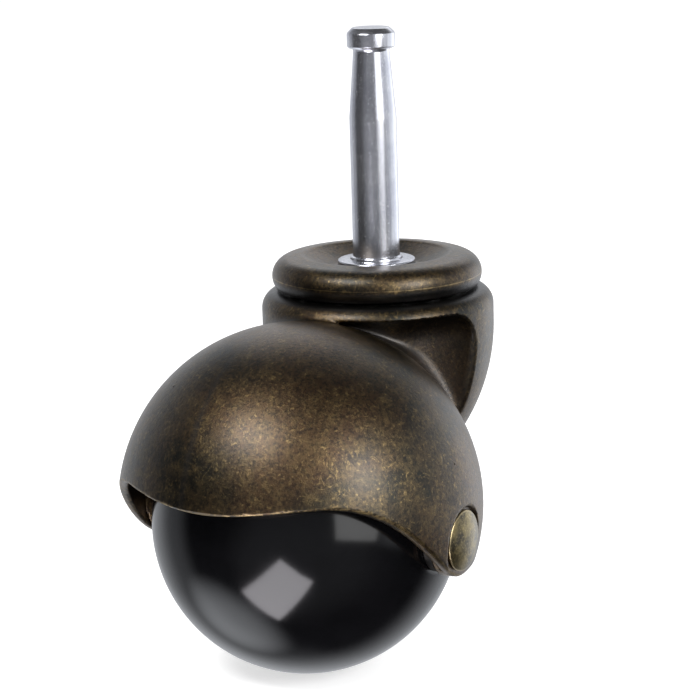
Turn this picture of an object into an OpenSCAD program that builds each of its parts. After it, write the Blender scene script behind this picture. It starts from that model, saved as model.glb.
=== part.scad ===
// Swivelling ball castor: a hooded ball wheel that hangs on a grip-neck stem.
// The origin is the centre of the flange's top face, where the furniture leg rests.
// +Z runs up the stem, +X points from the swivel axis to the ball, Y is the axle.

/* [Stem] */
// Length of the stem above its flange
stem_len = 39; // [34:0.5:60]
// Diameter of the stem's shank
stem_d = 7.94; // [7.2:0.02:9]
// Diameter of the grip head at the tip
grip_d = 8.06; // [7.2:0.02:9]
// Height of the grip head
grip_h = 3.4; // [2.4:0.1:5]
// Radius of the rounded edge of the tip
tip_round = 1; // [0.3:0.1:1.4]
// Size of the small chamfer under the grip head
grip_chamfer = 0.3; // [0.1:0.1:0.5]
// Diameter of the waist under the grip head
waist_d = 6.04; // [5:0.02:7]
// Length over which the waist swells back to the shank
swell_len = 11.6; // [6:0.2:16]
// Diameter of the seating flange
flange_d = 13.2; // [11.5:0.1:14.6]
// Thickness of the seating flange
flange_t = 1.4; // [1:0.1:1.8]

/* [Swivel bearing] */
// Diameter of the upper disc
disc_d = 35.6; // [34:0.1:40]
// Sheet thickness of the upper disc
disc_t = 1.6; // [1.2:0.1:1.8]
// Radius of the disc's rolled outer edge
disc_round = 3.2; // [2.8:0.1:3.4]
// Radius of the disc's crest round the dished centre
crest_round = 1.5; // [1:0.1:2]
// Width of the flat floor of the dish outside the flange
dish_room = 1; // [0.6:0.1:1.6]
// Depth of the disc's lower edge under the seat
disc_drop = 4.4; // [4:0.1:5]
// Number of bearing balls
ball_count = 16; // [8:1:16]
// Diameter of a bearing ball
ball_d = 4.76; // [4.2:0.02:4.9]
// Distance of the balls' circle inside the disc's outer edge
race_inset = 4.3; // [4.1:0.1:4.6]
// Depth of the lower race in the hood's neck
race_depth = 0.7; // [0.4:0.1:1]
// Gap between the upper disc and the hood's neck
race_gap = 0.5; // [0.3:0.1:1]
// Clearance all round a bearing ball in its races
ball_play = 0.12; // [0.08:0.01:0.2]
// Diameter of the swivel journal
journal_d = 9; // [8:0.1:10]
// Step by which the riveted tail is thinner than the journal
tail_step = 1; // [0.6:0.1:1.5]
// Width of the rivet head's ledge outside the tail
tail_ledge = 2; // [1:0.1:2.5]
// Height of the rivet head under the lower washer
tail_head_h = 1.8; // [1.2:0.1:2.4]
// Width of the lower washer outside the journal
washer_w = 4; // [3.2:0.1:5]
// Thickness of the lower washer
washer_t = 1.6; // [1:0.1:2]

/* [Ball wheel] */
// Diameter of the ball wheel
wheel_d = 50.6; // [46:0.1:60]
// Diameter of the small flats on the ball's sides
hub_flat_d = 12; // [10:0.1:14]
// Wall thickness of the bush in the ball
bush_wall = 1; // [0.8:0.1:1.5]

/* [Hood] */
// Room all round between the ball and the hood's dome
dome_gap = 2.9; // [2.6:0.1:4]
// Wall thickness of the dome
dome_wall = 1.6; // [1.2:0.1:2.4]
// How far the dome's centre lies ahead of the axle
dome_ahead = 1.5; // [0.5:0.1:2]
// How far the dome's centre lies above the axle
dome_above = 3; // [2.4:0.1:3.4]
// How far the dome reaches back past the swivel axis
dome_back = 2.7; // [2:0.1:4]
// How far the top of the dome stays below the top of the neck
dome_sink = 1.3; // [0.5:0.1:2]
// Width of the neck's edge outside the upper disc
neck_lip = 1.9; // [1:0.1:3]
// Radius of the neck's upper edge
neck_round = 3; // [1.5:0.1:3]
// Height of the neck's upright wall, from its top to where it starts to taper
neck_wall_h = 6; // [4:0.5:8]
// Radius of the curve that tapers the neck down to the dome
neck_taper_r = 34; // [30:0.5:40]
// Thickness of the plate that turns on the journal
neck_plate_t = 4; // [3:0.1:5]
// Height of the band left above the cut in the neck
band_h = 2.2; // [1.8:0.1:3]
// Distance from the swivel axis to the neck's cut-back face
face_x = 2.2; // [0:0.1:4]
// Radius of the corner between that face and the band
face_round = 5.3; // [2:0.1:7]
// Radius of the fillet between that face and the core
core_fillet = 11; // [4:0.5:14]
// How far the cut in the neck's near side runs past the middle
cut_reach = 4; // [0:0.5:8]
// Room between the lower washer and the wall of the core
washer_room = 1.3; // [0.8:0.1:2]
// Wall thickness of the core and of the neck
neck_wall = 2.8; // [2:0.1:3.2]

/* [Hood rim] */
// Width of the ear under the rivet head
ear_margin = 1.5; // [1.3:0.05:3]
// Height of the rim at the top of the front opening, above the axle
brow_z = 9.85; // [6:0.05:12]
// Distance of that top from the front of the dome
brow_inset = 7; // [4:0.1:10]
// Distance behind the axle at which the rim starts to rise
ear_back = 2; // [0:0.1:5]
// Fall of the rim toward its front end, per mm squared
brow_fall = 0.03; // [0:0.002:0.08]

/* [Axle] */
// Diameter of the axle
axle_d = 6; // [5:0.1:7]
// Diameter of the rivet heads on the axle
head_d = 9.8; // [8:0.1:11]
// Thickness of a rivet head at its edge
head_edge = 0.6; // [0.4:0.1:1]
// Height of a rivet head's dome above its edge
head_dome = 0.9; // [0.5:0.1:1.4]
// How deep the seats of the rivet heads are sunk into the dome
seat_sink = 1.2; // [1:0.1:1.5]
// Width of the groove round each rivet head
seat_gap = 0.55; // [0.3:0.05:1]
// Width of the boss inside each ear, outside the seat
boss_rim = 0.5; // [0.3:0.1:0.8]
// Thickness of the spacer washers beside the ball
spacer_t = 1.4; // [1:0.1:1.8]
// Width of the spacer washers round the axle
spacer_w = 2.5; // [1.5:0.1:3]

/* [Fits] */
// Radial running clearance of the journal, the axle and the bush
run_gap = 0.06; // [0.02:0.01:0.1]
// End play between pieces that turn against each other
end_gap = 0.12; // [0.08:0.01:0.2]

/* [Hidden] */
$fn = 96;
flange_z = -flange_t;
plate_z = flange_z - disc_t;
disc_z = -disc_drop;
neck_z = disc_z - race_gap;
ball_r = ball_d / 2;
race_r = disc_d / 2 - race_inset;
race_round = ball_r + ball_play;
ball_z = neck_z - race_depth + race_round;
crest_z = ball_z + race_round + disc_t;
neck_r = disc_d / 2 + neck_lip;
taper_z = neck_z - neck_wall_h;
plate_low_z = neck_z - neck_plate_t;
washer_z = plate_low_z - end_gap;
tail_z = washer_z - washer_t;
tail_r = journal_d / 2 - tail_step;
washer_r = journal_d / 2 + washer_w;
core_r = washer_r + washer_room + neck_wall;
wheel_r = wheel_d / 2;
dome_in_r = wheel_r + dome_gap;
dome_r = dome_in_r + dome_wall;
dome_x = dome_r - dome_back;
dome_z = neck_z - dome_sink - dome_r;
axle_x = dome_x - dome_ahead;
axle_z = dome_z - dome_above;
hub_y = sqrt(pow(wheel_r, 2) - pow(hub_flat_d / 2, 2));
bush_r = axle_d / 2 + bush_wall;
boss_y = hub_y + end_gap + spacer_t;
seat_y = dome_r - seat_sink;
cap_r = head_d / 2;
seat_r = cap_r + seat_gap;
ear_z = -cap_r - ear_margin;
brow_x = dome_r + dome_ahead - brow_inset;
far_cut = 2 * dome_r;
arc_step = 6;
rim_steps = 24;

BALLS = [for (i = [1 : ball_count]) str("bearing_ball_", i < 10 ? "0" : "", i)];

// Points along an arc about c, from angle a to angle b
function arc(c, r, a, b) =
    let (n = max(2, ceil(abs(b - a) / arc_step)))
    [for (i = [0 : n]) c + r * [cos(a + (b - a) * i / n), sin(a + (b - a) * i / n)]];

// Height of the hood's rim at distance x ahead of the axle, against the axle
function rim_z(x) =
    x < -ear_back ? ear_z :
    x < brow_x ? ear_z + (brow_z - ear_z) * (1 - cos(180 * (x + ear_back) / (brow_x + ear_back))) / 2 :
    brow_z - brow_fall * pow(x - brow_x, 2);

// Half section of the tapered neck down to radius end_r, or of its hollow, thinner by inset
function neck_side(inset, end_r) =
    let (r = neck_taper_r - inset)
    let (c = [neck_r - neck_taper_r, taper_z])
    let (a = acos((end_r - c[0]) / r))
    concat(arc(c, r, 0, -a), [[0, taper_z - r * sin(a)]]);

// Stem with grip head, waist, shank, flange, swivel journal and riveted tail
module stem() {
    grip_z = stem_len - grip_h;
    swell_z = grip_z - swell_len;
    grip_r = grip_d / 2;
    head_r = tail_r + tail_ledge;
    color("lightgray")
        rotate_extrude()
            polygon(concat(
                [[0, tail_z - tail_head_h], [head_r - tail_head_h / 2, tail_z - tail_head_h]],
                [[head_r, tail_z - tail_head_h / 2], [head_r, tail_z]],
                [[tail_r, tail_z], [tail_r, washer_z], [journal_d / 2, washer_z]],
                [[journal_d / 2, flange_z], [flange_d / 2, flange_z], [flange_d / 2, 0]],
                [[stem_d / 2, 0]],
                [[stem_d / 2, swell_z], [waist_d / 2, grip_z]],
                [[grip_r - grip_chamfer, grip_z], [grip_r, grip_z + grip_chamfer]],
                arc([grip_r - tip_round, stem_len - tip_round], tip_round, 0, 90),
                [[0, stem_len]]));
}

// Dished sheet disc that is clamped under the flange and holds the upper race
module upper_disc() {
    curl = 37.5;
    edge_c = [disc_d / 2 - disc_round, disc_z + disc_round * sin(curl)];
    crest_c = [race_r - crest_round / 2, crest_z - crest_round];
    inner_r = disc_round - disc_t;
    color("darkkhaki")
        rotate_extrude()
            polygon(concat(
                [[journal_d / 2 + run_gap, plate_z], [journal_d / 2 + run_gap, flange_z]],
                [[flange_d / 2 + dish_room, flange_z]],
                arc(crest_c, crest_round, 120, 82),
                arc(edge_c, disc_round, 82, -curl),
                [[edge_c[0] + inner_r, disc_z], edge_c + [inner_r, 0]],
                arc([race_r, ball_z], race_round, 35, 180),
                [[race_r - race_round, plate_z]]));
}

// One of the loose balls between the upper disc and the neck
module bearing_ball(i) {
    color("silver")
        rotate([0, 0, 360 * i / ball_count])
            translate([race_r, 0, ball_z])
                sphere(ball_r);
}

// Washer that holds the hood up on the journal
module lower_washer() {
    color("silver")
        translate([0, 0, tail_z])
            difference() {
                cylinder(h = washer_t, r = washer_r);
                translate([0, 0, -washer_t])
                    cylinder(h = 3 * washer_t, r = tail_r + run_gap / 2);
            }
}

// Cuts the near side of the neck back, under the band, and leaves the round core standing
module front_cut() {
    top_z = neck_z - band_h;
    fillet_x = face_x + core_fillet;
    turn = acos(fillet_x / (core_r + core_fillet));
    fillet_c = [fillet_x, fillet_x * tan(turn)];
    side = concat(
        [[face_x, far_cut]],
        arc(fillet_c, core_fillet, 180, 180 + turn),
        arc([0, 0], core_r, turn, -asin(cut_reach / core_r)));
    intersection() {
        rotate([90, 0, 0])
            linear_extrude(height = far_cut, center = true)
                polygon(concat(
                    [[face_x, -far_cut]],
                    arc([face_x + face_round, top_z - face_round], face_round, 180, 90),
                    [[far_cut, top_z], [far_cut, -far_cut]]));
        translate([0, 0, -far_cut])
            linear_extrude(height = far_cut)
                polygon(concat(side, [[far_cut, -cut_reach], [far_cut, far_cut]]));
    }
}

// Round neck that tapers down to the back of the dome
module tapered_neck() {
    rotate_extrude()
        polygon(concat(
            [[0, neck_z]],
            arc([neck_r - neck_round, neck_z - neck_round], neck_round, 90, 0),
            neck_side(0, neck_round / 3)));
}

// Neck with its cut-back front
module neck() {
    difference() {
        tapered_neck();
        front_cut();
    }
}

// Hollow under the neck plate, where the tail of the stem is riveted
module neck_hollow() {
    low_z = dome_z + dome_above;
    translate([0, 0, low_z])
        cylinder(h = plate_low_z - low_z, r = washer_r + washer_room);
    intersection() {
        rotate_extrude()
            polygon(concat(
                [[0, plate_low_z], [neck_r - neck_wall, plate_low_z]],
                neck_side(neck_wall, neck_wall)));
        translate([dome_x - dome_r - far_cut, -far_cut / 2, -far_cut])
            cube([far_cut, far_cut, far_cut]);
    }
}

// Everything below the rim of the hood, as a cutter across the whole width
module below_rim() {
    reach = dome_r + dome_ahead;
    translate([axle_x, 0, axle_z])
        rotate([90, 0, 0])
            linear_extrude(height = 2 * far_cut, center = true)
                polygon(concat(
                    [[-far_cut, -far_cut], [-far_cut, ear_z]],
                    [for (i = [0 : rim_steps])
                        let (x = -ear_back + (reach + ear_back) * i / rim_steps)
                        [x, rim_z(x)]],
                    [[far_cut, rim_z(reach)], [far_cut, -far_cut]]));
}

// Cylinder along the axle, from y0 to y1
module axle_rod(r, y0, y1) {
    translate([axle_x, y0, axle_z])
        rotate([-90, 0, 0])
            cylinder(h = y1 - y0, r = r);
}

// Cast hood: neck, dome, ears and their bosses
module hood() {
    color("darkolivegreen")
        difference() {
            union() {
                difference() {
                    union() {
                        neck();
                        translate([dome_x, 0, dome_z])
                            sphere(dome_r);
                    }
                    neck_hollow();
                    translate([dome_x, 0, dome_z])
                        sphere(dome_in_r);
                    below_rim();
                }
                intersection() {
                    union() {
                        axle_rod(seat_r + boss_rim, boss_y, seat_y + seat_sink / 2);
                        axle_rod(seat_r + boss_rim, -seat_y - seat_sink / 2, -boss_y);
                    }
                    translate([dome_x, 0, dome_z])
                        sphere(dome_in_r + dome_wall / 2);
                }
            }
            axle_rod(axle_d / 2 + run_gap / 2, -far_cut, far_cut);
            axle_rod(seat_r, seat_y, far_cut);
            axle_rod(seat_r, -far_cut, -seat_y);
            translate([0, 0, plate_low_z - neck_plate_t])
                cylinder(h = 3 * neck_plate_t, r = journal_d / 2 + run_gap);
            translate([0, 0, ball_z])
                rotate_extrude()
                    translate([race_r, 0])
                        circle(race_round);
        }
}

// Domed rivet head, standing on its flat face at z = 0
module button() {
    sphere_r = (pow(cap_r, 2) + pow(head_dome, 2)) / (2 * head_dome);
    half = asin(cap_r / sphere_r);
    rotate_extrude()
        polygon(concat(
            [[0, 0], [cap_r, 0]],
            arc([0, head_edge + head_dome - sphere_r], sphere_r, 90 - half, 90)));
}

// Axle with the near rivet head on it and a short pilot at the far end
module axle_rivet() {
    pilot_r = axle_d / 2 - head_edge;
    color("goldenrod") {
        axle_rod(axle_d / 2, -seat_y, seat_y);
        axle_rod(pilot_r, -seat_y - head_edge, -seat_y);
        translate([axle_x, seat_y, axle_z])
            rotate([-90, 0, 0])
                button();
    }
}

// Rivet head that is closed over the axle's pilot on the far side
module rivet_cap() {
    pilot_r = axle_d / 2 - head_edge + run_gap / 2;
    color("goldenrod")
        translate([axle_x, -seat_y, axle_z])
            rotate([90, 0, 0])
                difference() {
                    button();
                    translate([0, 0, -head_edge])
                        cylinder(h = 2 * head_edge + end_gap / 2, r = pilot_r);
                }
}

// Spacer between the ball's hub and an ear
module spacer(side) {
    y0 = hub_y + end_gap;
    y1 = boss_y;
    color("silver")
        difference() {
            axle_rod(axle_d / 2 + spacer_w, side > 0 ? y0 : -y1, side > 0 ? y1 : -y0);
            axle_rod(axle_d / 2 + run_gap / 2, -far_cut, far_cut);
        }
}

// Glossy ball that rolls on the floor, flattened at its hub and bored for its bush
module ball_wheel() {
    color("#151515")
        translate([axle_x, 0, axle_z])
            rotate([90, 0, 0])
                rotate_extrude()
                    intersection() {
                        circle(wheel_r);
                        translate([bush_r + run_gap / 2, -hub_y])
                            square([wheel_r, 2 * hub_y]);
                    }
}

// Bush in the ball that turns on the axle
module hub_bush() {
    color("silver")
        difference() {
            axle_rod(bush_r, -hub_y, hub_y);
            axle_rod(axle_d / 2 + run_gap, -far_cut, far_cut);
        }
}

stem();
upper_disc();
lower_washer();
hood();
axle_rivet();
rivet_cap();
spacer(1);  // spacer_near
spacer(-1);  // spacer_far
ball_wheel();
hub_bush();
for (i = [0 : ball_count - 1]) bearing_ball(i);
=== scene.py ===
"""Looks of a swivelling ball castor: its pieces and their finishes, the light and the camera."""
import math

import bpy
import numpy as np
from mathutils import Matrix, Vector


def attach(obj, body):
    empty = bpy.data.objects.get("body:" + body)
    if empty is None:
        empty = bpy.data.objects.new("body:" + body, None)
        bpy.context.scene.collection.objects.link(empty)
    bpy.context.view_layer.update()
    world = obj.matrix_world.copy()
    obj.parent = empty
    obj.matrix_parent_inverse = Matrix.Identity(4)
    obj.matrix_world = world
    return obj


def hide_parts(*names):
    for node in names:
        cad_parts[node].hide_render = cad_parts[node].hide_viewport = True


MM = 0.001

# Sizes of the pieces in millimetres, in the frame of the CAD model
STEM_LEN = 39.0
STEM_R = 3.97
GRIP_R = 4.03
GRIP_H = 3.4
WAIST_R = 3.02
SWELL_LEN = 11.6
FLANGE_R = 6.6
FLANGE_T = 1.4
STEP_R = 4.35
STEP_H = 0.45
JOURNAL_R = 4.5
TAIL_R = 3.5
TAIL_HEAD_R = 5.5
TAIL_HEAD_H = 1.8
WASHER_Z = -9.02
TAIL_Z = -10.62
DISC_R = 17.8
DISC_T = 1.6
DISC_ROUND = 3.2
DISC_CURL = 37.5
DISC_Z = -4.4
EDGE_LINE_Z = -2.3
CREST_ROUND = 1.5
CREST_Z = 1.0
RACE_R = 13.5
RACE_ROUND = 2.5
BALL_Z = -3.1
NECK_Z = -4.9
NECK_R = 19.7
NECK_ROUND = 3.0
TAPER_Z = -10.9
TAPER_R = 34.0
PLATE_LOW_Z = -8.9
NECK_WALL = 2.8
BAND_Z = -7.1
FACE_X = 2.2
FACE_ROUND = 5.3
CORE_R = 12.6
CORE_FILLET = 11.0
CUT_REACH = 4.0
HOLLOW_R = 9.8
HOLLOW_Z = -33.0
DOME = (27.1, 0.0, -36.0)
DOME_R = 29.8
DOME_IN_R = 28.2
AXLE = (25.6, 0.0, -39.0)
AXLE_R = 3.0
WHEEL_R = 25.3
HUB_FLAT_R = 6.0
BUSH_R = 4.0
BOSS_Y = 26.1
SEAT_Y = 28.6
SEAT_R = 5.45
CAP_R = 4.9
CAP_EDGE = 0.6
CAP_DOME = 0.9
EAR_Z = -6.4
EAR_BACK = 2.0
BROW_X = 24.3
BROW_Z = 9.85
BROW_FALL = 0.03
RUN_GAP = 0.06
FLOOR_Z = AXLE[2] - WHEEL_R

# Radii of the softened edges of the casting
TOP_BLEND = 0.6
NECK_BLEND = 2.4
FRONT_BLEND = 3.4
BAND_EDGE = 0.35
SIDE_EDGE = 1.1
RIM_EDGE = 0.55
SEAT_EDGE = 0.5
BORE_EDGE = 0.2

# Grid of the casting's surface and the reach of its settling
GRID_STEP = 0.50
SETTLE_STEP = 0.02
SETTLE_REACH = 0.2

# Wear, painted shade and a painted highlight line: how far round a vertex they look, and how strong they
# are
WEAR_REACH = 0.7
SHADE_REACH = 2.2
BAND_WEAR = 0.30
RIM_LINE = 0.42
RIDGE_SHEEN = 0.46
GAP_SHADE = 0.42
RECESS_SHADE = 0.15
UNDER_SHADE = 0.38
DISH_SHADE = 0.12

# Camera of the photograph: angles in degrees, place in metres, lens and sensor in millimetres
CAMERA_AZIMUTH = 30.31
CAMERA_ELEVATION = 12.65
CAMERA_ROLL = 1.64
CAMERA_SPOT = (0.3562, 0.2025, 0.0761)
CAMERA_LENS = 126.33
CAMERA_SENSOR = 36

# Floor: half its width in millimetres, its grey and its own glow
FLOOR_REACH = 6000
FLOOR_GREY = 0.80
FLOOR_GLOW = 0.60


def round_union(a, b, r):
    """Union of two distance fields with a fillet of radius r between them."""
    return np.maximum(np.minimum(a, b), r) - np.hypot(np.maximum(r - a, 0), np.maximum(r - b, 0))


def round_common(a, b, r):
    """Common part of two distance fields with its edge rounded by radius r."""
    return np.minimum(np.maximum(a, b), -r) + np.hypot(np.maximum(a + r, 0), np.maximum(b + r, 0))


def neck_side(r, z, inset):
    """Distance to the tapered side of the neck, or to its hollow, thinner by inset."""
    wall = r - (NECK_R - inset)
    taper = np.hypot(r - (NECK_R - TAPER_R), z - TAPER_Z) - (TAPER_R - inset)
    return np.where(z > TAPER_Z, wall, taper)


def front_plan(x, y):
    """Distance in plan to the cut-back front: face, fillet and core. Negative in the open."""
    cx = FACE_X + CORE_FILLET
    cy = math.sqrt((CORE_R + CORE_FILLET) ** 2 - cx ** 2)
    turn = math.atan2(cy, cx)
    lean = np.arctan2(cy - y, cx - x)
    fillet = np.hypot(x - cx, y - cy) - CORE_FILLET
    plain = np.maximum(np.maximum(FACE_X - x, CORE_R - np.hypot(x, y)), -CUT_REACH - y)
    return np.where((lean >= 0) & (lean <= turn), fillet, plain)


def rim_field(x, z):
    """Distance above the hood's rim line, positive above it."""
    a = x - AXLE[0]
    turn = math.pi / (BROW_X + EAR_BACK)
    rise = (BROW_Z - EAR_Z) / 2
    inner = np.clip(a, -EAR_BACK, BROW_X)
    fall = np.maximum(a - BROW_X, 0)
    line = EAR_Z + rise * (1 - np.cos(turn * (inner + EAR_BACK))) - BROW_FALL * fall ** 2
    slope = rise * turn * np.sin(turn * (inner + EAR_BACK)) - 2 * BROW_FALL * fall
    return (z - AXLE[2] - line) / np.sqrt(1 + slope ** 2)


def smooth_step(t):
    """Smooth ramp from 0 to 1."""
    t = np.clip(t, 0, 1)
    return t * t * (3 - 2 * t)


def joint_radius(y, z):
    """Fillet between neck and dome: small at the top, wide in the cut-back front."""
    far = TOP_BLEND + (NECK_BLEND - TOP_BLEND) * np.clip(np.abs(y) / 12, 0, 1)
    deep = smooth_step((BAND_Z - z) / 9)
    front = FRONT_BLEND - (FRONT_BLEND - NECK_BLEND) * smooth_step((y - 13) / 6)
    near = TOP_BLEND + (front - TOP_BLEND) * deep
    side = smooth_step(y / 4)
    return far + (near - far) * side


def hood_field(p):
    """Signed distance, in millimetres, to the cast hood. Negative inside the metal."""
    x, y, z = p[..., 0], p[..., 1], p[..., 2]
    r = np.hypot(x, y)
    dome = np.sqrt((x - DOME[0]) ** 2 + y ** 2 + (z - DOME[2]) ** 2)
    axle = np.hypot(x - AXLE[0], z - AXLE[2])
    neck = round_common(neck_side(r, z, 0), z - NECK_Z, NECK_ROUND)
    front = round_common(front_plan(x, y), z - BAND_Z, FACE_ROUND)
    edge = BAND_EDGE + (SIDE_EDGE - BAND_EDGE) * smooth_step((BAND_Z - 0.5 - z) / 8)
    neck = round_common(neck, -front, edge)
    body = round_union(neck, dome - DOME_R, joint_radius(y, z))
    well = np.maximum(r - HOLLOW_R, np.maximum(z - PLATE_LOW_Z, HOLLOW_Z - z))
    back = np.maximum(neck_side(r, z, NECK_WALL), z - PLATE_LOW_Z)
    back = np.maximum(back, x - (DOME[0] - DOME_R))
    hollow = np.minimum(dome - DOME_IN_R, np.minimum(well, back))
    body = round_common(body, -hollow, BORE_EDGE)
    body = round_common(body, -rim_field(x, z), RIM_EDGE)
    boss = np.maximum(axle - (SEAT_R + 0.5), BOSS_Y - np.abs(y))
    boss = np.maximum(boss, dome - (DOME_IN_R + DOME_R) / 2)
    body = np.minimum(body, boss)
    seat = np.maximum(axle - SEAT_R, SEAT_Y - np.abs(y))
    body = round_common(body, -seat, SEAT_EDGE)
    swivel_bore = np.maximum(r - JOURNAL_R - RUN_GAP, PLATE_LOW_Z - 1 - z)
    bores = np.minimum(axle - AXLE_R - RUN_GAP / 2, swivel_bore)
    body = round_common(body, -bores, BORE_EDGE)
    race = np.hypot(r - RACE_R, z - BALL_Z) - RACE_ROUND
    return round_common(body, -race, BORE_EDGE)


def field_normal(p, field, h):
    """Outward unit normals of a field, from differences over h."""
    out = np.empty_like(p)
    for axis in range(3):
        step = np.zeros(3)
        step[axis] = h
        out[:, axis] = field(p + step) - field(p - step)
    return out / np.maximum(np.linalg.norm(out, axis=1, keepdims=True), 1e-9)


def surface_net(field, low, high, step):
    """Quads round the zero level of a field, with one vertex in each grid cell that it crosses."""
    axes = [np.arange(low[a], high[a] + step, step) for a in range(3)]
    shape = tuple(len(a) for a in axes)
    values = np.empty(shape)
    for i, x in enumerate(axes[0]):
        grid = np.stack(np.meshgrid([x], axes[1], axes[2], indexing="ij"), axis=-1)
        values[i] = field(grid)[0]
    size = shape[0] * shape[1] * shape[2]
    total = np.zeros((size, 3))
    count = np.zeros(size)
    quads = []
    for a in range(3):
        b, c = (a + 1) % 3, (a + 2) % 3
        first = np.take(values, range(shape[a] - 1), axis=a)
        second = np.take(values, range(1, shape[a]), axis=a)
        spots = np.argwhere((first < 0) != (second < 0))
        f0 = first[tuple(spots.T)]
        f1 = second[tuple(spots.T)]
        points = spots.astype(float)
        points[:, a] += f0 / (f0 - f1)
        around = []
        for shift_b, shift_c in ((-1, -1), (0, -1), (0, 0), (-1, 0)):
            cell = spots.copy()
            cell[:, b] += shift_b
            cell[:, c] += shift_c
            flat = np.ravel_multi_index(tuple(cell.T), shape)
            around.append(flat)
            for k in range(3):
                total[:, k] += np.bincount(flat, points[:, k], size)
            count += np.bincount(flat, minlength=size)
        quad = np.stack(around, axis=1)
        flip = f0 > 0
        quad[flip] = quad[flip][:, ::-1]
        quads.append(quad)
    quads = np.concatenate(quads)
    used = np.flatnonzero(count)
    number = np.full(size, -1)
    number[used] = np.arange(len(used))
    verts = total[used] / count[used, None] * step + np.array(low)
    return verts, number[quads]


def settle(verts, field, turns):
    """Moves the vertices onto the zero level of a field."""
    for _ in range(turns):
        normal = field_normal(verts, field, SETTLE_STEP)
        verts = verts - normal * np.clip(field(verts), -SETTLE_REACH, SETTLE_REACH)[:, None]
    return verts


def convexity(verts, normals, field, reach):
    """How far the surface falls away round each vertex: positive on edges, negative in hollows."""
    side = np.cross(normals, np.where(np.abs(normals[:, 2:]) < 0.8, [[0.0, 0.0, 1.0]], [[1.0, 0.0, 0.0]]))
    side /= np.linalg.norm(side, axis=1, keepdims=True)
    other = np.cross(normals, side)
    out = np.zeros(len(verts))
    for direction in (side, -side, other, -other):
        out += field(verts + reach * direction)
    return out / (4 * reach)


def make_mesh(name, verts, faces, normals=None, smooth=True):
    """Mesh object from points in millimetres."""
    mesh = bpy.data.meshes.new(name)
    if normals is not None:
        faces = np.asarray(faces).tolist()
    mesh.from_pydata((np.asarray(verts) * MM).tolist(), [], faces)
    mesh.validate()
    mesh.update()
    if smooth:
        mesh.shade_smooth()
    if normals is not None:
        mesh.normals_split_custom_set_from_vertices(normals.tolist())
    obj = bpy.data.objects.new(name, mesh)
    bpy.context.scene.collection.objects.link(obj)
    return obj


def vertex_spots(obj):
    """Vertex positions of a mesh in millimetres."""
    spots = np.empty(len(obj.data.vertices) * 3)
    obj.data.vertices.foreach_get("co", spots)
    return spots.reshape(-1, 3) / MM


def add_values(obj, name, values):
    """Stores one number per vertex for the materials."""
    layer = obj.data.attributes.new(name, "FLOAT", "POINT")
    layer.data.foreach_set("value", np.asarray(values, dtype=np.float32))


def arc(center, r, a, b, steps):
    """Points along an arc, from angle a to angle b in degrees."""
    out = []
    for i in range(steps + 1):
        t = math.radians(a + (b - a) * i / steps)
        out.append((center[0] + r * math.cos(t), center[1] + r * math.sin(t), 0))
    return out


def soften(points, steps=5):
    """Rounds the corners of a section. Each point is (r, z, corner radius)."""
    out = []
    for i, (x, z, radius) in enumerate(points):
        if radius <= 0 or i == 0 or i == len(points) - 1:
            out.append((x, z))
            continue
        here = Vector((x, z))
        to_prev = Vector(points[i - 1][:2]) - here
        to_next = Vector(points[i + 1][:2]) - here
        half = to_prev.angle(to_next) / 2
        cut = min(radius / math.tan(half), to_prev.length * 0.49, to_next.length * 0.49)
        start = here + to_prev.normalized() * cut
        end = here + to_next.normalized() * cut
        for k in range(steps + 1):
            t = k / steps
            spot = start * (1 - t) ** 2 + here * 2 * t * (1 - t) + end * t ** 2
            out.append((spot.x, spot.y))
    return out


def split_long(section, longest):
    """Adds points where two neighbours of a section are far apart."""
    out = [section[0]]
    for a, b in zip(section, section[1:]):
        parts = max(1, math.ceil(math.dist(a, b) / longest))
        for k in range(1, parts + 1):
            out.append((a[0] + (b[0] - a[0]) * k / parts, a[1] + (b[1] - a[1]) * k / parts))
    return out


def lathe(name, section, turn, segments=160, longest=1.2):
    """Solid of revolution. The section runs up the axis from end to end, or closes on itself."""
    section = split_long(section, longest)
    closed = math.dist(section[0], section[-1]) < 1e-6
    if closed:
        section = section[:-1]
    verts = []
    rows = []
    for r, z in section:
        if r < 1e-6:
            rows.append([len(verts)] * segments)
            verts.append((0, 0, z))
            continue
        rows.append(list(range(len(verts), len(verts) + segments)))
        for k in range(segments):
            t = 2 * math.pi * k / segments
            verts.append((r * math.cos(t), r * math.sin(t), z))
    faces = []
    pairs = list(zip(rows, rows[1:]))
    if closed:
        pairs.append((rows[-1], rows[0]))
    for low, high in pairs:
        for k in range(segments):
            n = (k + 1) % segments
            face = [low[k], low[n], high[n], high[k]]
            face = list(dict.fromkeys(face))
            if len(face) > 2:
                faces.append(face)
    placed = [turn @ Vector(v) for v in verts]
    obj = make_mesh(name, [tuple(v) for v in placed], faces)
    obj.data.set_sharp_from_angle(angle=math.radians(50))
    return obj


def upright():
    """Placement for pieces turned about the swivel axis."""
    return Matrix.Identity(4)


def along_axle(side):
    """Placement for pieces turned about the axle, facing the +Y side (1) or the -Y side (-1)."""
    return Matrix.Translation(AXLE) @ Matrix.Rotation(-side * math.pi / 2, 4, "X")


def hood_wear(verts, normals):
    """Wear of the casting: its edges, and a rubbed line along the outside of the rim."""
    x, y, z = verts.T
    edges = convexity(verts, normals, hood_field, WEAR_REACH)
    band = (np.abs(z - BAND_Z) < 1.2) & (np.hypot(x, y) < NECK_R)
    edges = np.where(band, BAND_WEAR * edges, edges)
    dome = np.sqrt((x - DOME[0]) ** 2 + y ** 2 + (z - DOME[2]) ** 2)
    line = np.exp(-((rim_field(x, z) - 0.30) / 0.28) ** 2) * (dome > DOME_R - 0.6)
    return np.maximum(edges, RIM_LINE * line)


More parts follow.
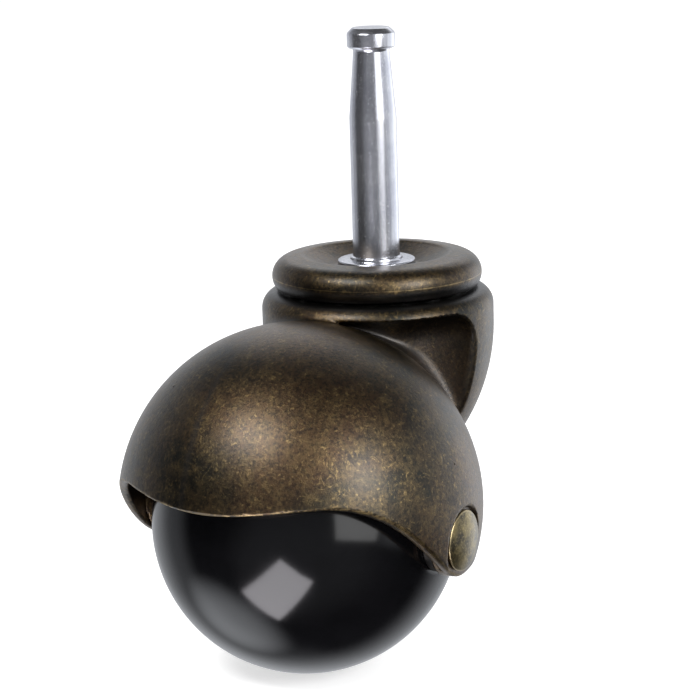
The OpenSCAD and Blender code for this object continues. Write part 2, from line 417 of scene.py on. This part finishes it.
def hood_painted_shade(verts, normals):
    """Painted shade in the hollows of the casting, in its cut-back recess and in the gap under the disc,
    as negative numbers.
    """
    x, y, z = verts.T
    # Painted shade: darker in hollows and creases, a cool grey in the cut-back recess, near-black in the
    # gap under the disc.
    hollows = convexity(verts, normals, hood_field, SHADE_REACH)
    gap = np.clip((z - NECK_Z + 0.9) / 0.8, 0, 1) * (np.hypot(x, y) < NECK_R)
    recess = np.exp(-(front_plan(x, y) / 0.8) ** 2) * (z < BAND_Z) * (x > FACE_X - 1)
    return np.minimum(np.minimum(hollows, -GAP_SHADE * gap), -RECESS_SHADE * recess)


def build_hood():
    """Cast hood with blended neck, worn rim and seats for the rivet heads."""
    low = (-NECK_R - 1, -DOME_R - 1, AXLE[2] + EAR_Z - 1)
    high = (DOME[0] + DOME_R + 1, DOME_R + 1, NECK_Z + 1)
    verts, faces = surface_net(hood_field, low, high, GRID_STEP)
    verts = settle(verts, hood_field, 4)
    normals = field_normal(verts, hood_field, 0.05)
    obj = make_mesh("cast_hood", verts, faces, normals)
    add_values(obj, "wear_and_sheen", hood_wear(verts, normals))
    # Painted shade for the brass material, stored per vertex.
    add_values(obj, "painted_shade", hood_painted_shade(verts, normals))
    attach(obj, "swivel_body")
    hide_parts("hood")
    return obj


def build_stem():
    """Turned stem from the riveted tail up to the grip head."""
    grip_z = STEM_LEN - GRIP_H
    section = [(0, TAIL_Z - TAIL_HEAD_H, 0), (TAIL_HEAD_R - 0.9, TAIL_Z - TAIL_HEAD_H, 0.5)]
    section += [(TAIL_HEAD_R, TAIL_Z - 0.9, 0.5), (TAIL_HEAD_R, TAIL_Z, 0.1), (TAIL_R, TAIL_Z, 0)]
    section += [(TAIL_R, WASHER_Z, 0), (JOURNAL_R, WASHER_Z, 0.2), (JOURNAL_R, -FLANGE_T, 0)]
    section += [(FLANGE_R, -FLANGE_T, 0.1), (FLANGE_R, 0, 0.35), (STEP_R + 0.1, 0, 0.1)]
    section += [(STEP_R, STEP_H, 0.2), (STEM_R + 0.02, STEP_H + 0.1, 0.1), (STEM_R, 1.2, 0)]
    section += [(STEM_R, grip_z - SWELL_LEN, 6), (WAIST_R + 0.02, grip_z - 0.5, 0.4)]
    section += [(WAIST_R + 0.15, grip_z, 0.15), (GRIP_R - 0.3, grip_z, 0.12), (GRIP_R, grip_z + 0.3, 0.2)]
    section += [(GRIP_R, STEM_LEN - 0.9, 0.6), (GRIP_R - 0.9, STEM_LEN, 0.5), (0, STEM_LEN, 0)]
    obj = lathe("turned_stem", soften(section), upright(), longest=1.5)
    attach(obj, "mounting")
    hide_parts("stem")
    return obj


def build_disc():
    """Dished disc with its rolled edge."""
    edge = (DISC_R - DISC_ROUND, DISC_Z + DISC_ROUND * math.sin(math.radians(DISC_CURL)))
    crest = (RACE_R - CREST_ROUND / 2, CREST_Z - CREST_ROUND)
    inner = DISC_ROUND - DISC_T
    section = [(JOURNAL_R + RUN_GAP, -FLANGE_T - DISC_T, 0), (JOURNAL_R + RUN_GAP, -FLANGE_T, 0)]
    section += [(FLANGE_R + 1.0, -FLANGE_T, 1.2)]
    section += arc(crest, CREST_ROUND, 125, 84, 8)
    section += arc(edge, DISC_ROUND, 80, -DISC_CURL, 24)
    section += [(edge[0] + inner, DISC_Z, 0.1), (edge[0] + inner, edge[1], 0)]
    section += arc((RACE_R, BALL_Z), RACE_ROUND, 35, 180, 16)
    section += [(RACE_R - RACE_ROUND, -FLANGE_T - DISC_T, 0)]
    section = section[::-1]
    obj = lathe("dished_disc", soften(section + [section[0]]), upright(), segments=200, longest=0.35)
    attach(obj, "mounting")
    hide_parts("upper_disc")
    spots = vertex_spots(obj)
    radius = np.hypot(spots[:, 0], spots[:, 1])
    # Painted highlight: a thin bright line along the equator of the rolled edge, stored with the wear.
    ridge = np.exp(-((spots[:, 2] - EDGE_LINE_Z) / 0.13) ** 2) * (radius > DISC_R - 0.6)
    add_values(obj, "wear_and_sheen", RIDGE_SHEEN * ridge)
    # Painted shade: darker below the roll's equator and lower in the dish.
    under = np.clip((EDGE_LINE_Z - 0.2 - spots[:, 2]) / 0.9, 0, 1) * (radius > RACE_R)
    dish = np.clip((0.2 - spots[:, 2]) / 1.2, 0, 1) * (radius < RACE_R - 1)
    add_values(obj, "painted_shade", -UNDER_SHADE * under - DISH_SHADE * dish)
    return obj


def build_rivet(name, node, side, with_rod):
    """Domed rivet head, with the axle rod behind the near one."""
    sphere_r = (CAP_R ** 2 + CAP_DOME ** 2) / (2 * CAP_DOME)
    half = math.degrees(math.asin(CAP_R / sphere_r))
    top = arc((0, SEAT_Y + CAP_EDGE + CAP_DOME - sphere_r), sphere_r, 90 - half, 90, 10)
    top[0] = (top[0][0], top[0][1], 0.35)
    foot = [(CAP_R - 0.15, SEAT_Y, 0), (CAP_R, SEAT_Y + 0.15, 0.1)]
    if with_rod:
        pilot = AXLE_R - CAP_EDGE
        rod = [(0, -SEAT_Y - CAP_EDGE, 0), (pilot, -SEAT_Y - CAP_EDGE, 0), (pilot, -SEAT_Y, 0)]
        rod += [(AXLE_R, -SEAT_Y, 0), (AXLE_R, SEAT_Y, 0)]
        section = rod + foot + top
    else:
        pilot = AXLE_R - CAP_EDGE + RUN_GAP / 2
        section = [(0, SEAT_Y + CAP_EDGE + 0.05, 0), (pilot, SEAT_Y + CAP_EDGE + 0.05, 0)]
        section += [(pilot, SEAT_Y, 0)]
        section += foot + top
    obj = lathe(name, soften(section), along_axle(side), segments=96)
    spots = vertex_spots(obj) - np.array(AXLE)
    radius = np.hypot(spots[:, 0], spots[:, 2])
    outside = np.abs(spots[:, 1]) > SEAT_Y
    add_values(obj, "wear_and_sheen", np.exp(-((radius - CAP_R) / 0.30) ** 2) * outside)
    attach(obj, "swivel_body")
    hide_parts(node)
    return obj


def build_ball():
    """Glossy ball with small flats at its hub."""
    hub_y = math.sqrt(WHEEL_R ** 2 - HUB_FLAT_R ** 2)
    lean = math.degrees(math.asin(hub_y / WHEEL_R))
    bore = BUSH_R + RUN_GAP / 2
    section = [(bore, -hub_y, 0)] + arc((0, 0), WHEEL_R, -lean, lean, 150)
    section += [(bore, hub_y, 0), (bore, -hub_y, 0)]
    obj = lathe("glossy_ball", soften(section), along_axle(1), segments=240, longest=2)
    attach(obj, "wheel")
    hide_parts("ball_wheel")
    return obj


def new_material(name):
    """Material with an empty principled shader, its tree and its shader node."""
    mat = bpy.data.materials.new(name)
    mat.use_nodes = True
    tree = mat.node_tree
    return mat, tree, tree.nodes["Principled BSDF"]


def link(tree, out, socket):
    """Joins an output socket to an input socket."""
    tree.links.new(out, socket)


def noise(tree, scale, detail=4.0, roughness=0.55, stretch=(1, 1, 1), distortion=0.0):
    """Noise in object space, stretched along the axes."""
    coord = tree.nodes.new("ShaderNodeTexCoord")
    mapping = tree.nodes.new("ShaderNodeMapping")
    mapping.inputs["Scale"].default_value = stretch
    tex = tree.nodes.new("ShaderNodeTexNoise")
    tex.inputs["Scale"].default_value = scale
    tex.inputs["Detail"].default_value = detail
    tex.inputs["Roughness"].default_value = roughness
    tex.inputs["Distortion"].default_value = distortion
    link(tree, coord.outputs["Object"], mapping.inputs["Vector"])
    link(tree, mapping.outputs["Vector"], tex.inputs["Vector"])
    return tex.outputs["Fac"]


def remap(tree, value, from_low, from_high, to_low=0.0, to_high=1.0):
    """Maps a value from one range to another and clamps it."""
    node = tree.nodes.new("ShaderNodeMapRange")
    link(tree, value, node.inputs["Value"])
    node.inputs["From Min"].default_value = from_low
    node.inputs["From Max"].default_value = from_high
    node.inputs["To Min"].default_value = to_low
    node.inputs["To Max"].default_value = to_high
    return node.outputs["Result"]


def mix(tree, factor, first, second, blend="MIX"):
    """Mixes two colours. Each is a socket or an RGB value."""
    node = tree.nodes.new("ShaderNodeMix")
    node.data_type = "RGBA"
    node.blend_type = blend
    if isinstance(factor, float):
        node.inputs[0].default_value = factor
    else:
        link(tree, factor, node.inputs[0])
    for socket, value in ((node.inputs[6], first), (node.inputs[7], second)):
        if isinstance(value, tuple):
            socket.default_value = value + (1.0,)
        else:
            link(tree, value, socket)
    return node.outputs[2]


def math_node(tree, operation, first, second):
    """Arithmetic on two sockets or numbers."""
    node = tree.nodes.new("ShaderNodeMath")
    node.operation = operation
    for socket, value in zip(node.inputs, (first, second)):
        if isinstance(value, (int, float)):
            socket.default_value = value
        else:
            link(tree, value, socket)
    return node.outputs[0]


def attribute(tree, name):
    """Reads a number stored on the mesh."""
    node = tree.nodes.new("ShaderNodeAttribute")
    node.attribute_name = name
    return node.outputs["Fac"]


def bump(tree, shader, heights):
    """Stacks bumps. Each is a (height socket, strength, distance) triple."""
    last = None
    for height, strength, distance in heights:
        node = tree.nodes.new("ShaderNodeBump")
        node.inputs["Strength"].default_value = strength
        node.inputs["Distance"].default_value = distance
        link(tree, height, node.inputs["Height"])
        if last is not None:
            link(tree, last, node.inputs["Normal"])
        last = node.outputs["Normal"]
    link(tree, last, shader.inputs["Normal"])


def antique_brass():
    """Darkened brass under thin lacquer: mottled, finely scratched, bright where edges are worn and along
    a painted highlight line, with painted shade in hollows and gaps.
    """
    mat, tree, shader = new_material("antique_brass")
    cloud = noise(tree, 45, 3, 0.5, distortion=0.3)
    patch = noise(tree, 150, 6, 0.68, distortion=0.2)
    mottle = noise(tree, 520, 6, 0.72)
    grain = noise(tree, 2200, 4, 0.7)
    strands = noise(tree, 620, 5, 0.65, distortion=2.2)
    tone = mix(tree, remap(tree, cloud, 0.43, 0.58), (0.021, 0.021, 0.016), (0.080, 0.046, 0.024))
    tone = mix(tree, remap(tree, patch, 0.40, 0.66, 0.0, 0.65), tone, (0.122, 0.078, 0.035))
    tone = mix(tree, remap(tree, mottle, 0.46, 0.64, 0.0, 0.52), tone, (0.168, 0.118, 0.052))
    fleck = math_node(tree, "MULTIPLY", remap(tree, strands, 0.52, 0.68), remap(tree, grain, 0.42, 0.60))
    tone = mix(tree, math_node(tree, "MULTIPLY", fleck, 0.75), tone, (0.36, 0.25, 0.10))
    dark = remap(tree, noise(tree, 1700, 4, 0.70), 0.46, 0.62, 0.0, 0.72)
    tone = mix(tree, dark, tone, (0.014, 0.012, 0.010))
    # Worn edges, and the painted highlight line on the disc's roll, turn to bright brass.
    worn_and_sheen = math_node(tree, "ADD", attribute(tree, "wear_and_sheen"), remap(tree, mottle, 0.3, 0.7, -0.12, 0.12))
    worn_and_sheen = remap(tree, worn_and_sheen, 0.22, 0.50)
    tone = mix(tree, math_node(tree, "MULTIPLY", worn_and_sheen, 0.80), tone, (0.50, 0.36, 0.16))
    # Painted shade: a cool grey in hollows and the recess, near-black in the gap under the disc and under
    # its roll.
    grey_shade = remap(tree, attribute(tree, "painted_shade"), -0.03, -0.22)
    tone = mix(tree, math_node(tree, "MULTIPLY", grey_shade, 0.80), tone, (0.042, 0.041, 0.042))
    shade = remap(tree, attribute(tree, "painted_shade"), -0.24, -0.42, 0.0, 0.85)
    tone = mix(tree, shade, tone, (0.007, 0.006, 0.005))
    link(tree, tone, shader.inputs["Base Color"])
    rough = remap(tree, mottle, 0.3, 0.7, 0.34, 0.46)
    rough = math_node(tree, "SUBTRACT", rough, math_node(tree, "MULTIPLY", worn_and_sheen, 0.10))
    link(tree, rough, shader.inputs["Roughness"])
    shader.inputs["Metallic"].default_value = 1.0
    shader.inputs["Coat Weight"].default_value = 0.55
    shader.inputs["Coat Roughness"].default_value = 0.33
    coarse = [(cloud, 0.30, 0.0010), (mottle, 0.55, 0.00016)]
    fine = [(strands, 0.35, 0.00012), (grain, 0.75, 0.00008)]
    bump(tree, shader, coarse + fine)
    return mat


def rivet_brass():
    """Lighter brass of the rivet, dark in its pits and bright at its edge."""
    mat, tree, shader = new_material("rivet_brass")
    mottle = noise(tree, 380, 5, 0.65)
    grain = noise(tree, 2600, 3, 0.6)
    tone = mix(tree, remap(tree, mottle, 0.38, 0.62), (0.040, 0.031, 0.013), (0.24, 0.185, 0.072))
    tone = mix(tree, remap(tree, grain, 0.52, 0.70, 0.0, 0.5), tone, (0.48, 0.37, 0.17))
    tone = mix(tree, remap(tree, attribute(tree, "wear_and_sheen"), 0.3, 1.0, 0.0, 0.7), tone, (0.60, 0.48, 0.27))
    link(tree, tone, shader.inputs["Base Color"])
    link(tree, remap(tree, mottle, 0.3, 0.7, 0.26, 0.40), shader.inputs["Roughness"])
    shader.inputs["Metallic"].default_value = 1.0
    shader.inputs["Coat Weight"].default_value = 0.5
    shader.inputs["Coat Roughness"].default_value = 0.25
    bump(tree, shader, [(mottle, 0.4, 0.0003), (grain, 0.3, 0.00006)])
    return mat


def zinc_steel():
    """Bright zinc plate with a fine satin grain and faint drawing marks."""
    mat, tree, shader = new_material("zinc_plated_steel")
    cloud = noise(tree, 160, 4, 0.6)
    grain = noise(tree, 3600, 3, 0.65)
    drawn = noise(tree, 1500, 3, 0.6, stretch=(1, 1, 0.03))
    tone = mix(tree, remap(tree, cloud, 0.35, 0.65), (0.58, 0.59, 0.66), (0.76, 0.77, 0.82))
    tone = mix(tree, remap(tree, grain, 0.45, 0.70, 0.0, 0.25), tone, (0.93, 0.94, 0.97))
    tone = mix(tree, remap(tree, drawn, 0.50, 0.75, 0.0, 0.45), tone, (0.42, 0.42, 0.50))
    link(tree, tone, shader.inputs["Base Color"])
    link(tree, remap(tree, grain, 0.3, 0.7, 0.18, 0.28), shader.inputs["Roughness"])
    shader.inputs["Metallic"].default_value = 0.95
    bump(tree, shader, [(drawn, 0.08, 0.00003), (grain, 0.40, 0.00002)])
    return mat


def dark_steel():
    """Near-black steel of the spacers, faintly mottled."""
    mat, tree, shader = new_material("dark_steel")
    film = noise(tree, 500, 4, 0.6)
    tone = mix(tree, remap(tree, film, 0.4, 0.65), (0.020, 0.019, 0.018), (0.050, 0.046, 0.042))
    link(tree, tone, shader.inputs["Base Color"])
    link(tree, remap(tree, film, 0.3, 0.7, 0.40, 0.60), shader.inputs["Roughness"])
    shader.inputs["Metallic"].default_value = 1.0
    bump(tree, shader, [(film, 0.10, 0.0001)])
    return mat


def black_gloss():
    """Polished black plastic with faint handling marks."""
    mat, tree, shader = new_material("black_gloss")
    haze = noise(tree, 60, 4, 0.6)
    dust = noise(tree, 1600, 3, 0.7)
    scuff = noise(tree, 500, 3, 0.6, stretch=(1, 0.1, 1), distortion=0.8)
    tone = mix(tree, remap(tree, haze, 0.35, 0.65), (0.0016, 0.0016, 0.0019), (0.0026, 0.0026, 0.0031))
    tone = mix(tree, remap(tree, dust, 0.70, 0.80, 0.0, 0.25), tone, (0.02, 0.02, 0.022))
    link(tree, tone, shader.inputs["Base Color"])
    rough = remap(tree, haze, 0.3, 0.7, 0.10, 0.16)
    rough = math_node(tree, "ADD", rough, remap(tree, scuff, 0.66, 0.78, 0.0, 0.08))
    link(tree, rough, shader.inputs["Roughness"])
    bump(tree, shader, [(haze, 0.05, 0.0004), (scuff, 0.04, 0.00003)])
    return mat


def bearing_steel():
    """Polished steel with a film of grease."""
    mat, tree, shader = new_material("bearing_steel")
    film = noise(tree, 500, 4, 0.6)
    tone = mix(tree, remap(tree, film, 0.4, 0.65), (0.62, 0.62, 0.64), (0.36, 0.33, 0.27))
    link(tree, tone, shader.inputs["Base Color"])
    link(tree, remap(tree, film, 0.3, 0.7, 0.12, 0.32), shader.inputs["Roughness"])
    shader.inputs["Metallic"].default_value = 1.0
    bump(tree, shader, [(film, 0.05, 0.0001)])
    return mat


def dress(mats, built):
    """Gives every visible piece and every CAD node that stays its finish."""
    for obj, finish in built:
        obj.data.materials.clear()
        obj.data.materials.append(mats[finish])
    for name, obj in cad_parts.items():
        finish = "bearing_steel" if name.startswith("bearing_ball") else "zinc_plated_steel"
        if name in ("hood", "upper_disc"):
            finish = "antique_brass"
        if name in ("axle_rivet", "rivet_cap"):
            finish = "rivet_brass"
        if name == "ball_wheel":
            finish = "black_gloss"
        if name.startswith("spacer"):
            finish = "dark_steel"
        for slot in obj.material_slots:
            slot.material = mats[finish]


def camera_axes():
    """Right, up and back vectors of the camera."""
    az = math.radians(CAMERA_AZIMUTH)
    el = math.radians(CAMERA_ELEVATION)
    roll = math.radians(CAMERA_ROLL)
    back = Vector((math.cos(el) * math.cos(az), math.cos(el) * math.sin(az), math.sin(el)))
    right = Vector((0, 0, 1)).cross(back).normalized()
    up = back.cross(right)
    tilted_right = right * math.cos(roll) - up * math.sin(roll)
    tilted_up = right * math.sin(roll) + up * math.cos(roll)
    return tilted_right, tilted_up, back


def place_camera():
    """Camera at the photograph's viewing angle."""
    right, up, back = camera_axes()
    cam = bpy.data.cameras.new("camera")
    cam.sensor_width = CAMERA_SENSOR
    cam.lens = CAMERA_LENS
    cam.clip_start = 0.01
    cam.clip_end = 20
    obj = bpy.data.objects.new("camera", cam)
    spot = Matrix((right, up, back)).transposed().to_4x4()
    spot.translation = Vector(CAMERA_SPOT)
    obj.matrix_world = spot
    bpy.context.scene.collection.objects.link(obj)
    bpy.context.scene.camera = obj


def softbox(name, target, direction, distance, width, height, power, roll=0.0):
    """Area light that stands in a direction given along the camera's right, up and back."""
    right, up, back = camera_axes()
    away = (right * direction[0] + up * direction[1] + back * direction[2]).normalized()
    lamp = bpy.data.lights.new(name, "AREA")
    lamp.shape = "RECTANGLE"
    lamp.size = width
    lamp.size_y = height
    lamp.energy = power
    obj = bpy.data.objects.new(name, lamp)
    side = Vector((0, 0, 1)).cross(away).normalized()
    frame_axes = Matrix((side, away.cross(side), away)).transposed().to_4x4()
    place = Matrix.Translation(target + away * distance)
    obj.matrix_world = place @ frame_axes @ Matrix.Rotation(roll, 4, "Z")
    bpy.context.scene.collection.objects.link(obj)
    return obj


def build_stage():
    """Pale floor under the ball and plain white surroundings."""
    turns = ((-1, -1), (1, -1), (1, 1), (-1, 1))
    corners = [(x * FLOOR_REACH, y * FLOOR_REACH, FLOOR_Z) for x, y in turns]
    floor = make_mesh("floor", corners, [(0, 1, 2, 3)], smooth=False)
    mat, tree, shader = new_material("pale_floor")
    shader.inputs["Base Color"].default_value = (FLOOR_GREY, FLOOR_GREY, FLOOR_GREY, 1)
    shader.inputs["Roughness"].default_value = 1.0
    shader.inputs["Specular IOR Level"].default_value = 0.0
    shader.inputs["Emission Color"].default_value = (1, 1, 1, 1)
    shader.inputs["Emission Strength"].default_value = FLOOR_GLOW
    floor.data.materials.append(mat)
    floor.visible_glossy = False
    floor.visible_shadow = False


def facing(tree, direction, start, end, low, high):
    """Brightness that grows as the viewed direction turns toward the given one."""
    coord = tree.nodes.new("ShaderNodeTexCoord")
    dot = tree.nodes.new("ShaderNodeVectorMath")
    dot.operation = "DOT_PRODUCT"
    dot.inputs[1].default_value = direction
    link(tree, coord.outputs["Generated"], dot.inputs[0])
    node = tree.nodes.new("ShaderNodeMapRange")
    node.interpolation_type = "SMOOTHSTEP"
    link(tree, dot.outputs["Value"], node.inputs["Value"])
    for name, value in (("From Min", start), ("From Max", end), ("To Min", low), ("To Max", high)):
        node.inputs[name].default_value = value
    return node.outputs["Result"]


def both(tree, first, second):
    """Brightness where both of two patches are bright."""
    return math_node(tree, "MULTIPLY", first, second)


def build_world():
    """White behind the object, a pale backdrop and a dark room in its reflections."""
    world = bpy.data.worlds.new("surroundings")
    world.use_nodes = True
    tree = world.node_tree
    background = tree.nodes["Background"]
    path = tree.nodes.new("ShaderNodeLightPath")
    right, up, back = camera_axes()
    backdrop = facing(tree, right * 0.12 - back * 0.99, 0.35, 0.85, 0.0, 0.72)
    left = facing(tree, -right, 0.45, 0.80, 0.0, 0.35)
    left = both(tree, left, facing(tree, -back, 0.05, 0.35, 0.0, 1.0))
    low_left = facing(tree, -right * 0.55 - up * 0.80 - back * 0.20, 0.86, 1.0, 0.0, 1.9)
    front = facing(tree, back * 0.93 - up * 0.37, 0.48, 0.88, 0.0, 0.15)
    below = facing(tree, -right * 0.25 - up * 0.75 - back * 0.61, 0.84, 0.98, 0.0, 0.22)
    behind = facing(tree, right * 0.90 - back * 0.44, 0.78, 0.93, 0.0, 1.0)
    beside = facing(tree, right, 0.76, 0.90, 0.0, 0.6)
    panel = math_node(tree, "MAXIMUM", behind, beside)
    panel = both(tree, panel, facing(tree, up, -0.32, -0.20, 0.0, 1.0))
    glossy = backdrop
    for glow in (left, low_left, front, below, panel):
        glossy = math_node(tree, "ADD", glossy, glow)
    cool = mix(tree, 1.0, glossy, (0.95, 0.98, 1.03), "MULTIPLY")
    hidden = mix(tree, path.outputs["Is Diffuse Ray"], cool, (0.55, 0.55, 0.55))
    seen = mix(tree, path.outputs["Is Camera Ray"], hidden, (1.0, 1.0, 1.0))
    link(tree, seen, background.inputs["Color"])
    bpy.context.scene.world = world


def build_lights():
    """Soft studio light."""
    ball = Vector(AXLE) * MM
    dome = Vector(DOME) * MM
    softbox("key_left", dome, (-0.44, 0.66, 0.60), 0.7, 0.36, 0.22, 2.8)
    softbox("key_right", dome, (0.62, 0.30, 0.72), 0.7, 0.22, 0.24, 2.0)
    softbox("tall_right", ball, (0.60, 0.25, 0.76), 0.6, 0.365, 0.60, 1.5, roll=-0.2)
    low_front = softbox("low_front", ball, (-0.298, -0.750, 0.591), 0.5, 0.376, 0.257, 1.8, roll=0.749)
    low_front.data.color = (0.98, 0.95, 1.0)
    softbox("top_fill", dome, (0.10, 0.80, -0.60), 1.2, 1.0, 0.7, 1.7)


def set_view():
    """Plain view transform."""
    scene = bpy.context.scene
    scene.view_settings.view_transform = "Standard"


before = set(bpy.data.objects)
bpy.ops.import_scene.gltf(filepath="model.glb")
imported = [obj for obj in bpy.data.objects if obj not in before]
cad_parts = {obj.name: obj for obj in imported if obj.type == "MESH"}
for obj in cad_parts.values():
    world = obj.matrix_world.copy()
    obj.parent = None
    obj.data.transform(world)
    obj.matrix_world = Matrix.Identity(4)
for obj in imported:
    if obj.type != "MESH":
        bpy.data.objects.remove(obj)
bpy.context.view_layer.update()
pieces = [
    (build_hood(), "antique_brass"),
    (build_stem(), "zinc_plated_steel"),
    (build_disc(), "antique_brass"),
    (build_rivet("near_rivet", "axle_rivet", 1, True), "rivet_brass"),
    (build_rivet("far_rivet", "rivet_cap", -1, False), "rivet_brass"),
    (build_ball(), "black_gloss"),
]
materials = {
    "antique_brass": antique_brass(),
    "rivet_brass": rivet_brass(),
    "zinc_plated_steel": zinc_steel(),
    "dark_steel": dark_steel(),
    "black_gloss": black_gloss(),
    "bearing_steel": bearing_steel(),
}
dress(materials, pieces)
build_stage()
build_world()
build_lights()
place_camera()
set_view()
